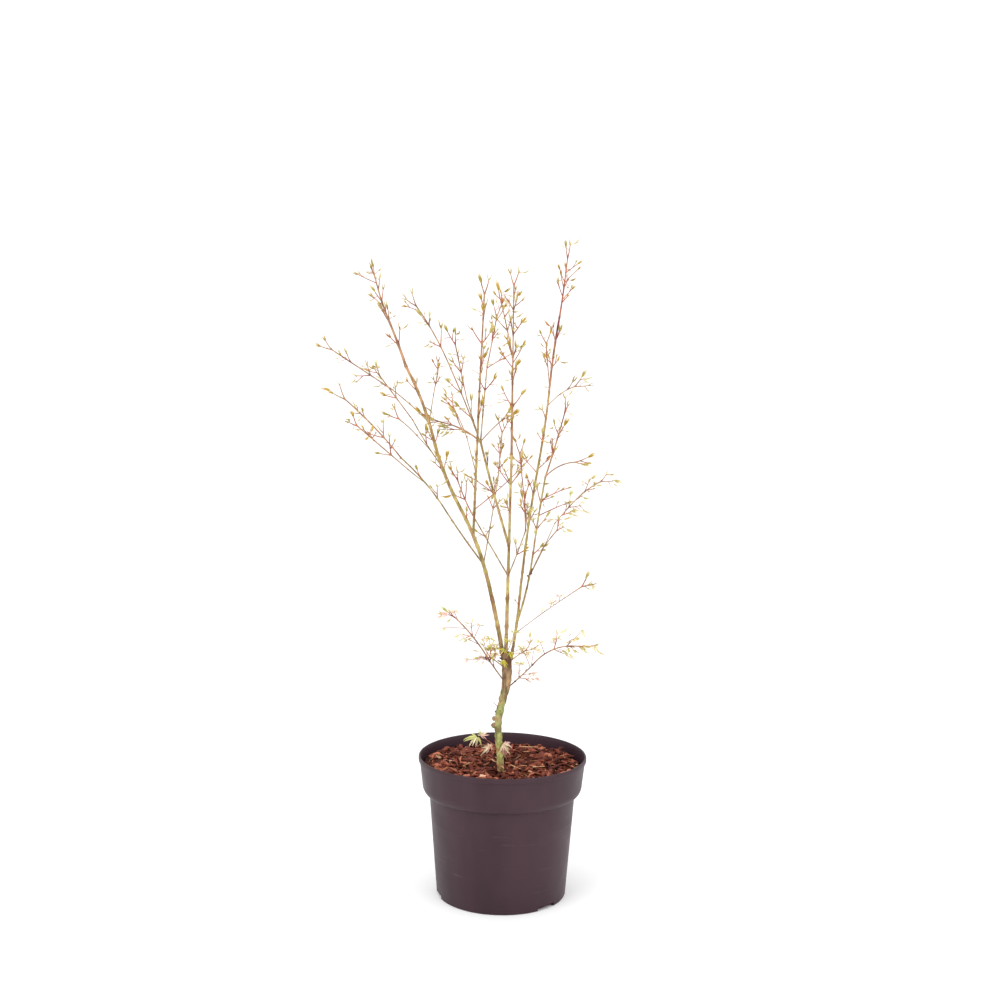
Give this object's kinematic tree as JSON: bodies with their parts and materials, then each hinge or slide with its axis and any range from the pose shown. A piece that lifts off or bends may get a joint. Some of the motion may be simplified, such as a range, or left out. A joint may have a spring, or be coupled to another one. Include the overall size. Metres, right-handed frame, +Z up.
{
  "type": "potted japanese maple",
  "caption": "Young japanese maple coming into leaf: a slim trunk forking low into upright stems with open sprays of small yellow-green leaves, in a round dark nursery pot of bark compost.",
  "frame": {"origin": "centre of the pot's flat underside, on the surface it stands on", "axes": "+Z up along the tree, +X to the right and -Y toward the front of the plant"},
  "size_m": [0.3481, 0.2413, 0.7411],
  "materials": {
    "pot_plastic": "satin",
    "bark_compost": "matte",
    "trunk_bark": "matte",
    "bough_bark": "matte",
    "foliage": "matte"
  },
  "bodies": {
    "root": {"pot": "pot_plastic", "bark_fill": "bark_compost", "trunk": "trunk_bark", "left_stem": "bough_bark", "middle_stem": "bough_bark", "right_stem": "bough_bark", "low_left_bough": "bough_bark", "low_right_bough": "bough_bark", "outer_left_bough": "bough_bark", "outer_left_low_bough": "bough_bark", "inner_back_bough": "bough_bark", "front_bough": "bough_bark", "inner_left_bough": "bough_bark", "far_left_bough": "bough_bark", "left_wisp_bough": "bough_bark", "back_left_bough": "bough_bark", "back_left_low_bough": "bough_bark", "crossing_bough": "bough_bark", "leaning_bough": "bough_bark", "fan_bough": "bough_bark", "fan_left_bough": "bough_bark", "fan_middle_bough": "bough_bark", "fan_right_bough": "bough_bark", "right_low_bough": "bough_bark", "right_inner_bough": "bough_bark", "right_side_bough": "bough_bark", "right_arm_bough": "bough_bark", "outer_right_stem": "bough_bark", "arching_bough": "bough_bark", "arching_low_bough": "bough_bark", "left_crown": "foliage", "middle_crown": "foliage", "right_crown": "foliage", "front_crown": "foliage", "outer_left_spray": "foliage", "outer_left_low_spray": "foliage", "inner_back_spray": "foliage", "inner_left_spray": "foliage", "far_left_spray": "foliage", "left_wisp_spray": "foliage", "back_left_spray": "foliage", "back_left_low_spray": "foliage", "crossing_spray": "foliage", "leaning_spray": "foliage", "fan_left_spray": "foliage", "fan_middle_spray": "foliage", "fan_arms_spray": "foliage", "fan_right_spray": "foliage", "right_low_spray": "foliage", "right_inner_spray": "foliage", "right_side_spray": "foliage", "right_arm_spray": "foliage", "outer_right_spray": "foliage", "arching_spray": "foliage", "arching_low_spray": "foliage", "fork_left_spray": "foliage", "fork_right_spray": "foliage", "foot_spray": "foliage", "low_left_spray": "foliage", "low_right_spray": "foliage"}
  },
  "joints": []
}
